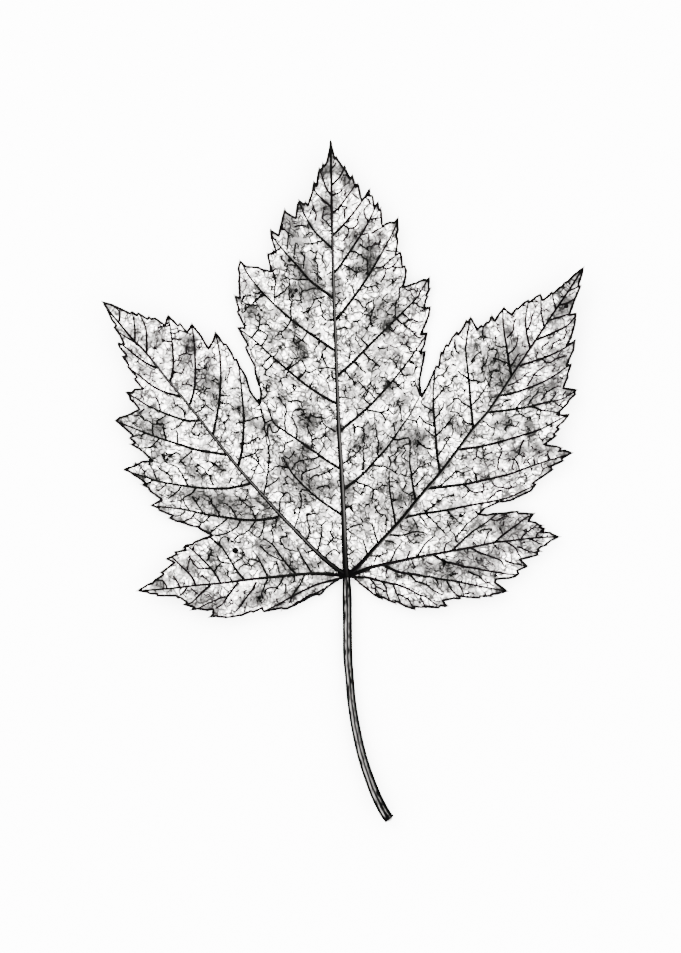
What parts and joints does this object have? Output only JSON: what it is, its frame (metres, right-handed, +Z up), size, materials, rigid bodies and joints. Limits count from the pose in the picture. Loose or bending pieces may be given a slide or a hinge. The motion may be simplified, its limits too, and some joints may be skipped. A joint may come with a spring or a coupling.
{
  "type": "maple leaf",
  "caption": "Five-lobed toothed leaf with raised ribs and net and a curved grooved stalk, laid down on a flat spot.",
  "frame": {"origin": "middle of the flat spot on the lower face that the leaf rests on, under its weight", "axes": "+Y along the midrib to the tip of the middle lobe, +Z up out of the ribbed face, +X to the right seen from above"},
  "size_m": [0.1605, 0.2278, 0.0103],
  "materials": {
    "leaf": "thin matt blade in pale wash grey with ink-dark ribs, net, margin and stalk edges, as the drawing shows it"
  },
  "bodies": {
    "root": {"maple_leaf": "leaf"}
  },
  "joints": []
}
